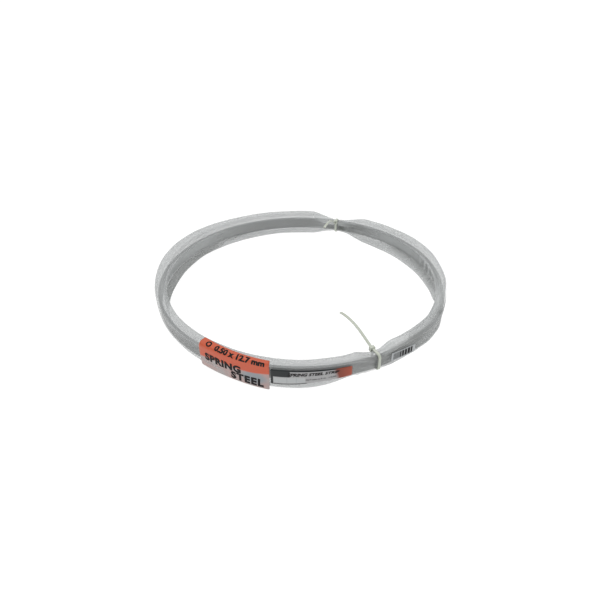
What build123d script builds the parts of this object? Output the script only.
from build123d import *

import math
import os
from collections import namedtuple

# A coil of feeler strip, stored and sold in a ring. Five metres of spring-steel strip are wound into a
# flat coil that stands on edge inside a tube of clear film. The tube's tucked end slides into its open
# mouth, and two small nylon ties draw it in round the coil. Three printed labels are stuck to its outer
# wall. The origin is on the surface that the ring lies on, at the ring's centre. +Z is up, angles run
# anticlockwise from +X, and -Y is the side with the labels. Lengths are in millimetres and angles in
# degrees.

# Gauge strip
STRIP_WIDTH = 12.7
STRIP_THICKNESS = 0.5
STRIP_LENGTH = 5000.0
COIL_OUTER_RADIUS = 152.0
COIL_PITCH = 0.6
COIL_MIDDLE_HEIGHT = 14.7
COIL_TILT = 1.3
COIL_START_ANGLE = 20.0

# Film sleeve
FILM = 0.3
SLEEVE_OUTER_RADIUS = 153.3
SLEEVE_DEPTH = 10.4
SLEEVE_HEIGHT = 28.0
SLEEVE_CORNER = 4.5
TUCK_CLEARANCE = 0.4
TUCK_START_ANGLE = -47.0
MOUTH_ANGLE = -18.0
TUCK_FLARE_START, TUCK_FLARE_END = -16.0, -8.0

# Necks, where the ties draw the sleeve in
NECK_REACH = 13.0
NECK_FLAT = 1.5
NECK_STEPS = 5
FRONT_TIE_ANGLE = -63.2
FRONT_NECK_DEPTH, FRONT_NECK_BOTTOM, FRONT_NECK_TOP, FRONT_NECK_CORNER = 10.4, 10.4, 25.6, 2.5
REAR_TIE_ANGLE = 72.0
REAR_NECK_DEPTH, REAR_NECK_BOTTOM, REAR_NECK_TOP, REAR_NECK_CORNER = 6.6, 4.1, 18.6, 1.5

# Nylon ties
STRAP_WIDTH = 2.5
STRAP_THICKNESS = 1.0
STRAP_GAP = 0.1
HEAD_WIDTH = 4.6
HEAD_LENGTH = 3.6
HEAD_FLOOR, HEAD_ROOF = 1.25, 0.9
HEAD_EDGE = 0.5
CHAMBER_WIDTH = 2.7
CHAMBER_DROP = 1.35
CHAMBER_WALL = 0.35
SLOT_CLEARANCE = 0.1
TOOTH_PITCH, TOOTH_LENGTH, TOOTH_DEPTH = 1.0, 0.75, 0.35
TOOTH_BACK = 0.05
TOOTH_BAND = 1.6
FIRST_TOOTH_IN = 0.55
TEETH_IN_HEAD = 3
RISE_TEETH_START = 0.6
FRONT_TAIL_RISE, REAR_TAIL_RISE = 14.0, 30.0
TAIL_RISE_LENGTH, TAIL_ARC_RADIUS, TAIL_ARC = 16.0, 70.0, 32.0
TIP_LENGTH, TIP_WIDTH = 4.0, 1.1

# Pawl, the toothed tongue in each tie's head, measured from the strap's underside and the head's mouth
PAWL_WIDTH = 2.3
PAWL_ROOT_RADIUS = 0.35
PAWL_ROOT_IN, PAWL_ROOT_DOWN = 0.75, 0.8
PAWL_TIP_IN = 3.3
PAWL_TOP_DOWN, PAWL_TIP_THICKNESS = 0.08, 0.5
PAWL_SHOULDER = 0.4
PAWL_TOOTH_HEIGHT = 0.18
PAWL_TOOTH_FRONT, PAWL_TOOTH_CREST, PAWL_TOOTH_BACK, PAWL_TOOTH_ROOT = 0.14, 0.5, 0.54, 0.05
PAWL_TOOTH_WIDTH = 1.4

# Labels
LABEL_GAP = 0.05
LABEL_THICKNESS = 0.2
TITLE_LABEL_ARC = (-126.6, -100.3)
TITLE_LABEL_BOTTOM, TITLE_LABEL_TOP_RADIUS, TITLE_LABEL_ROUND = 0.3, 147.6, 2.5
SPEC_LABEL_ARC = (-99.9, -73.1)
SPEC_LABEL_BOTTOM, SPEC_LABEL_TOP, SPEC_LABEL_ROUND = 7.2, 23.4, 0.8
BARCODE_LABEL_ARC = (-58.2, -47.2)
BARCODE_LABEL_BOTTOM, BARCODE_LABEL_TOP, BARCODE_LABEL_ROUND = 11.9, 22.4, 1.0

Section = namedtuple("Section", "r_in r_out low high corner")


# ---------------------------------------------------------------- shared geometry


def radial_plane(angle):
    """The upright plane through the ring's axis at an angle: x is the radius and y is the height."""
    a = math.radians(angle)
    return Plane(
        origin=(0, 0, 0),
        x_dir=(math.cos(a), math.sin(a), 0),
        z_dir=(math.sin(a), -math.cos(a), 0),
    )


def inset(section, by):
    """A section drawn in by the same distance all round, or let out where the distance is negative."""
    return Section(
        section.r_in + by, section.r_out - by, section.low + by, section.high - by, section.corner - by
    )


def mixed(a, b, share):
    """The section that lies a share of the way from one section to another."""
    return Section(*(p + (q - p) * share for p, q in zip(a, b)))


def outline(section):
    """A section's rounded rectangle, as a flat sketch of radius and height."""
    width, height = section.r_out - section.r_in, section.high - section.low
    centre = Pos((section.r_in + section.r_out) / 2, (section.low + section.high) / 2)
    return centre * RectangleRounded(width, height, section.corner)


def swept(sketch, start, end):
    """A flat sketch of radius and height, turned about the ring's axis from one angle to another."""
    return revolve(radial_plane(start) * sketch, axis=Axis.Z, revolution_arc=end - start)


def hollow_arc(section, start, end):
    """A length of sleeve that keeps one section."""
    return swept(outline(section) - outline(inset(section, FILM)), start, end)


def hollow_loft(stations):
    """A length of sleeve whose section changes, through (angle, section) stations."""
    outer = loft([radial_plane(angle) * outline(section) for angle, section in stations])
    inner = loft([radial_plane(angle) * outline(inset(section, FILM)) for angle, section in stations])
    return outer - inner


def eased(share):
    """A share from 0 to 1 that starts and ends gently."""
    return share * share * (3 - 2 * share)


# ---------------------------------------------------------------- sections of the sleeve

MAIN = Section(
    SLEEVE_OUTER_RADIUS - SLEEVE_DEPTH, SLEEVE_OUTER_RADIUS, 0.0, SLEEVE_HEIGHT, SLEEVE_CORNER
)
TUCK = inset(MAIN, FILM + TUCK_CLEARANCE)
FRONT_NECK = Section(
    SLEEVE_OUTER_RADIUS - FRONT_NECK_DEPTH,
    SLEEVE_OUTER_RADIUS,
    FRONT_NECK_BOTTOM,
    FRONT_NECK_TOP,
    FRONT_NECK_CORNER,
)
REAR_NECK = Section(
    SLEEVE_OUTER_RADIUS - REAR_NECK_DEPTH,
    SLEEVE_OUTER_RADIUS,
    REAR_NECK_BOTTOM,
    REAR_NECK_TOP,
    REAR_NECK_CORNER,
)


# ---------------------------------------------------------------- gauge strip


def coiled_strip():
    """The steel strip: half turns about two centres in turn, each tighter than the last, going inwards.

    The coil leans a little, so that it stands higher at the labels than behind.
    """
    half_step = COIL_PITCH / 2
    remaining = STRIP_LENGTH
    outer_edges = []
    inner_edges = []
    radius = COIL_OUTER_RADIUS
    centre = Vector(0, 0)
    angle = COIL_START_ANGLE
    while remaining > 0:
        middle_radius = radius - STRIP_THICKNESS / 2
        turn = min(180.0, math.degrees(remaining / middle_radius))
        outer_edges.append(CenterArc(centre, radius, angle, turn))
        inner_edges.append(CenterArc(centre, radius - STRIP_THICKNESS, angle, turn))
        remaining -= math.radians(turn) * middle_radius
        angle += 180.0
        radius -= half_step
        centre = centre + Vector(half_step, 0).rotate(Axis.Z, angle)
    ends = [
        Line(outer_edges[0] @ 0, inner_edges[0] @ 0),
        Line(outer_edges[-1] @ 1, inner_edges[-1] @ 1),
    ]
    profile = make_face(Curve() + outer_edges + inner_edges + ends)
    coil = extrude(profile, amount=STRIP_WIDTH / 2, dir=(0, 0, 1), both=True)
    return Pos(0, 0, COIL_MIDDLE_HEIGHT) * Rot(-COIL_TILT, 0, 0) * coil


# ---------------------------------------------------------------- sleeve


def neck(angle, section):
    """The drawn-in length of sleeve round one tie."""
    stations = []
    for side in (-1, 1):
        for step in range(NECK_STEPS):
            share = step / (NECK_STEPS - 1)
            away = NECK_REACH + (NECK_FLAT - NECK_REACH) * share
            stations.append((angle + side * away, mixed(MAIN, section, eased(share))))
    return hollow_loft(sorted(stations))


def flare():
    """The tucked end opening out to the full section, just past the mouth."""
    stations = []
    for step in range(NECK_STEPS):
        share = step / (NECK_STEPS - 1)
        angle = TUCK_FLARE_START + (TUCK_FLARE_END - TUCK_FLARE_START) * share
        stations.append((angle, mixed(TUCK, MAIN, eased(share))))
    return hollow_loft(stations)


def film_sleeve():
    """The whole tube: tucked end, flare, and the full section with its two necks, round to the mouth."""
    front = FRONT_TIE_ANGLE + 360
    lengths = [
        hollow_arc(TUCK, TUCK_START_ANGLE, TUCK_FLARE_START),
        flare(),
        hollow_arc(MAIN, TUCK_FLARE_END, REAR_TIE_ANGLE - NECK_REACH),
        neck(REAR_TIE_ANGLE, REAR_NECK),
        hollow_arc(MAIN, REAR_TIE_ANGLE + NECK_REACH, front - NECK_REACH),
        neck(front, FRONT_NECK),
        hollow_arc(MAIN, front + NECK_REACH, MOUTH_ANGLE + 360),
    ]
    return lengths[0].fuse(*lengths[1:])


# ---------------------------------------------------------------- ties


def teeth(start, direction, count):
    """Ratchet notches cut up into a straight run of strap: each ramps in and ends in a steep wall."""
    along = Vector(*direction).normalized()
    up = along.rotate(Axis.Z, -90)
    notches = Sketch()
    for tooth in range(count):
        foot = Vector(*start) + along * (tooth * TOOTH_PITCH)
        corners = [
            foot - up * STRAP_GAP,
            foot,
            foot + along * (TOOTH_LENGTH - TOOTH_BACK) + up * TOOTH_DEPTH,
            foot + along * TOOTH_LENGTH,
            foot + along * TOOTH_LENGTH - up * STRAP_GAP,
        ]
        notches += make_face(Polyline(*corners, close=True))
    return notches


def arc_teeth(centre, radius, start_angle, count):
    """The same notches along the underside of the tail, which curves over."""
    notches = Sketch()
    step = math.degrees(TOOTH_PITCH / radius)
    cut = TOOTH_LENGTH / TOOTH_PITCH
    for tooth in range(count):
        a = start_angle + tooth * step
        points = [
            (radius - STRAP_GAP, a),
            (radius, a),
            (radius + TOOTH_DEPTH, a + (cut - TOOTH_BACK) * step),
            (radius, a + cut * step),
            (radius - STRAP_GAP, a + cut * step),
        ]
        corners = [centre + Vector(r, 0).rotate(Axis.Z, t) for r, t in points]
        notches += make_face(Polyline(*corners, close=True))
    return notches


def extruded(sketch, angle, width):
    """A flat sketch in a tie's upright plane, thickened equally to both sides."""
    return extrude(radial_plane(angle) * sketch, amount=width / 2, both=True)


def tie_strap(angle, section, tail_rise):
    """One moulded tie: a head, a strap that leaves its foot, goes round the neck, and comes out inwards."""
    loop_inner = inset(section, -STRAP_GAP)
    loop_outer = inset(section, -STRAP_GAP - STRAP_THICKNESS)
    underside = loop_inner.high
    mouth = loop_inner.r_in
    exit_r = mouth - HEAD_LENGTH

    # The loop, open between the head's foot and the strap's run over the top.
    loop = outline(loop_outer) - outline(loop_inner)
    head_low = underside - CHAMBER_DROP - HEAD_FLOOR
    head_high = underside + STRAP_THICKNESS + SLOT_CLEARANCE + HEAD_ROOF
    corner_box = Pos(mouth - 1, (head_low + loop_outer.high + 1) / 2) * Rectangle(
        2 * section.corner + 2, loop_outer.high + 1 - head_low
    )
    loop -= corner_box
    foot = Pos(mouth - STRAP_THICKNESS / 2, head_low - 0.5) * Rectangle(STRAP_THICKNESS, 2.0)
    over_run_end = mouth + section.corner
    over = Pos((exit_r + over_run_end) / 2, underside + STRAP_THICKNESS / 2) * Rectangle(
        over_run_end - exit_r, STRAP_THICKNESS
    )

    # The tail: a straight rise out of the head, then an arc that bends it level and a little over.
    rise = Vector(-1, 0).rotate(Axis.Z, -tail_rise)
    out = Vector(exit_r, underside)
    bend_start = out + rise * TAIL_RISE_LENGTH
    over_top = rise.rotate(Axis.Z, -90)
    above_out = out + Vector(0, STRAP_THICKNESS)
    above_bend = bend_start + over_top * STRAP_THICKNESS
    run = make_face(Polyline(out, bend_start, above_bend, above_out, close=True))
    centre = bend_start - over_top * TAIL_ARC_RADIUS
    arc_from = math.degrees(math.atan2(over_top.Y, over_top.X))
    arc_span = TAIL_ARC
    sweep = make_face(
        Curve()
        + CenterArc(centre, TAIL_ARC_RADIUS, arc_from, arc_span)
        + CenterArc(centre, TAIL_ARC_RADIUS + STRAP_THICKNESS, arc_from, arc_span)
        + Line(
            centre + Vector(TAIL_ARC_RADIUS, 0).rotate(Axis.Z, arc_from),
            centre + Vector(TAIL_ARC_RADIUS + STRAP_THICKNESS, 0).rotate(Axis.Z, arc_from),
        )
        + Line(
            centre + Vector(TAIL_ARC_RADIUS, 0).rotate(Axis.Z, arc_from + arc_span),
            centre + Vector(TAIL_ARC_RADIUS + STRAP_THICKNESS, 0).rotate(Axis.Z, arc_from + arc_span),
        )
    )
    strap = extruded(loop + foot + over + run + sweep, angle, STRAP_WIDTH)

    # Teeth in a band down the middle of the strap, so that a plain rail is left at each side.
    head_teeth = teeth((mouth - FIRST_TOOTH_IN, underside), (-1, 0), TEETH_IN_HEAD)
    rise_start = out + rise * RISE_TEETH_START
    rise_count = int(TAIL_RISE_LENGTH / TOOTH_PITCH) - 1
    rise_teeth = teeth((rise_start.X, rise_start.Y), (rise.X, rise.Y), rise_count)
    arc_length = math.radians(arc_span) * TAIL_ARC_RADIUS
    bent_teeth = arc_teeth(
        centre, TAIL_ARC_RADIUS, arc_from + 0.6, int((arc_length - TIP_LENGTH) / TOOTH_PITCH)
    )
    strap -= extruded(head_teeth + rise_teeth + bent_teeth, angle, TOOTH_BAND)
    strap -= tip_cutters(angle, centre, arc_from + arc_span)

    # The head, with its slot and the chamber under the strap that holds the pawl.
    head_outline = Pos((mouth + exit_r) / 2, (head_low + head_high) / 2) * RectangleRounded(
        HEAD_LENGTH, head_high - head_low, HEAD_EDGE
    )
    head = extruded(head_outline, angle, HEAD_WIDTH)
    slot = Pos((mouth + exit_r) / 2, underside + STRAP_THICKNESS / 2) * Rectangle(
        HEAD_LENGTH + 1, STRAP_THICKNESS + 2 * SLOT_CLEARANCE
    )
    chamber_mouth = mouth - CHAMBER_WALL
    chamber = Pos((chamber_mouth + exit_r - 0.5) / 2, underside - CHAMBER_DROP / 2) * Rectangle(
        chamber_mouth - exit_r + 0.5, CHAMBER_DROP
    )
    head -= extruded(slot, angle, CHAMBER_WIDTH)
    head -= extruded(chamber, angle, CHAMBER_WIDTH)
    return head + strap


def tip_cutters(angle, centre, end_angle):
    """Two wedges that narrow the tail's last few millimetres to a blunt point."""
    lean = math.degrees(TIP_LENGTH / TAIL_ARC_RADIUS)
    at = radial_plane(angle) * Location(tuple(centre)) * Rot(0, 0, end_angle)
    edge = (STRAP_WIDTH - TIP_WIDTH) / 2
    radius = TAIL_ARC_RADIUS + STRAP_THICKNESS / 2
    cutters = []
    for side in (-1, 1):
        wedge = make_face(
            Polyline(
                (-TIP_LENGTH, side * STRAP_WIDTH / 2),
                (1, side * (STRAP_WIDTH / 2 - edge * (1 + 1 / TIP_LENGTH))),
                (1, side * STRAP_WIDTH),
                (-TIP_LENGTH, side * STRAP_WIDTH),
                close=True,
            )
        )
        flat = Plane(origin=(radius, 0, 0), x_dir=(0, 1, 0), z_dir=(1, 0, 0))
        cutters.append(at * Rot(0, 0, -lean / 2) * flat * extrude(wedge, amount=3, both=True))
    return cutters


def pawl_pivot(section):
    """Where a pawl's root turns: its radius from the ring's axis, and its height."""
    underside = section.high + STRAP_GAP
    mouth = section.r_in - STRAP_GAP
    return mouth - PAWL_ROOT_IN, underside - PAWL_ROOT_DOWN


def tie_pawl(angle, section):
    """The tongue in a tie's head. It leans inwards from a round root and bears two teeth on the strap."""
    underside = section.high + STRAP_GAP
    mouth = section.r_in - STRAP_GAP
    root_r, root_z = pawl_pivot(section)
    top = underside - PAWL_TOP_DOWN
    tip_r = mouth - PAWL_TIP_IN
    tongue = make_face(
        Polyline(
            (root_r, root_z + PAWL_ROOT_RADIUS),
            (root_r - PAWL_SHOULDER, top),
            (tip_r, top),
            (tip_r, top - PAWL_TIP_THICKNESS),
            (root_r, root_z - PAWL_ROOT_RADIUS),
            close=True,
        )
    )
    root = Pos(root_r, root_z) * Circle(PAWL_ROOT_RADIUS)
    shape = extruded(tongue + root, angle, PAWL_WIDTH)
    bite = Sketch()
    for tooth in (1, 2):
        foot = mouth - FIRST_TOOTH_IN - tooth * TOOTH_PITCH
        bite += make_face(
            Polyline(
                (foot - PAWL_TOOTH_FRONT, top - PAWL_TOOTH_ROOT),
                (foot - PAWL_TOOTH_FRONT, top),
                (foot - PAWL_TOOTH_CREST, underside + PAWL_TOOTH_HEIGHT),
                (foot - PAWL_TOOTH_BACK, top - PAWL_TOOTH_ROOT),
                close=True,
            )
        )
    return shape + extruded(bite, angle, PAWL_TOOTH_WIDTH)


# ---------------------------------------------------------------- labels


def label_strip(low, high, r_from):
    """A label's thickness against the sleeve's outer wall, between two heights and out from a radius."""
    inner = inset(MAIN, -LABEL_GAP)
    outer = inset(MAIN, -LABEL_GAP - LABEL_THICKNESS)
    window = Pos((r_from + outer.r_out + 1) / 2, (low + high) / 2) * Rectangle(
        outer.r_out + 1 - r_from, high - low
    )
    return (outline(outer) - outline(inner)) & window


def title_label():
    """The large label: over the top of the sleeve, down its wall, and on past its rounded foot."""
    middle = SLEEVE_HEIGHT / 2
    upper = label_strip(middle, SLEEVE_HEIGHT + 1, TITLE_LABEL_TOP_RADIUS)
    wall = SLEEVE_OUTER_RADIUS + LABEL_GAP + LABEL_THICKNESS / 2
    lower = Pos(wall, (TITLE_LABEL_BOTTOM + middle) / 2) * Rectangle(
        LABEL_THICKNESS, middle - TITLE_LABEL_BOTTOM
    )
    label = swept(upper + lower, *TITLE_LABEL_ARC)
    return label.fillet(TITLE_LABEL_ROUND, label_corners(label, top=False))


def label_corners(label, top=True):
    """The short edges through a label's thickness at its lower corners, and at its upper ones too."""
    through = label.edges().filter_by(lambda edge: abs(edge.length - LABEL_THICKNESS) < 0.02)
    ranked = through.sort_by(Axis.Z)
    return ranked if top else ranked[:2]


def wall_label(arc, low, high, corner):
    """A plain label on the sleeve's upright wall, with rounded corners."""
    label = swept(label_strip(low, high, SLEEVE_OUTER_RADIUS - 1), *arc)
    return label.fillet(corner, label_corners(label))


# ---------------------------------------------------------------- the parts


def main():
    os.makedirs("parts", exist_ok=True)
    parts = {
        "gauge_strip": coiled_strip(),
        "film_sleeve": film_sleeve(),
        "front_tie": tie_strap(FRONT_TIE_ANGLE, FRONT_NECK, FRONT_TAIL_RISE),
        "front_tie_pawl": tie_pawl(FRONT_TIE_ANGLE, FRONT_NECK),
        "rear_tie": tie_strap(REAR_TIE_ANGLE, REAR_NECK, REAR_TAIL_RISE),
        "rear_tie_pawl": tie_pawl(REAR_TIE_ANGLE, REAR_NECK),
        "title_label": title_label(),
        "spec_label": wall_label(SPEC_LABEL_ARC, SPEC_LABEL_BOTTOM, SPEC_LABEL_TOP, SPEC_LABEL_ROUND),
        "barcode_label": wall_label(
            BARCODE_LABEL_ARC, BARCODE_LABEL_BOTTOM, BARCODE_LABEL_TOP, BARCODE_LABEL_ROUND
        ),
    }
    for name, shape in parts.items():
        export_step(shape, f"parts/{name}.step")
        print(name, len(shape.solids()), "solid, valid", shape.is_valid, "volume", round(shape.volume, 1))
    for name, angle, section in (
        ("front", FRONT_TIE_ANGLE, FRONT_NECK),
        ("rear", REAR_TIE_ANGLE, REAR_NECK),
    ):
        plane = radial_plane(angle)
        pivot = plane.from_local_coords(Vector(*pawl_pivot(section)))
        print(name, "pawl pivot", pivot, "axis", plane.z_dir)
    print("coil axis", Vector(0, 0, 1).rotate(Axis.X, -COIL_TILT))


main()
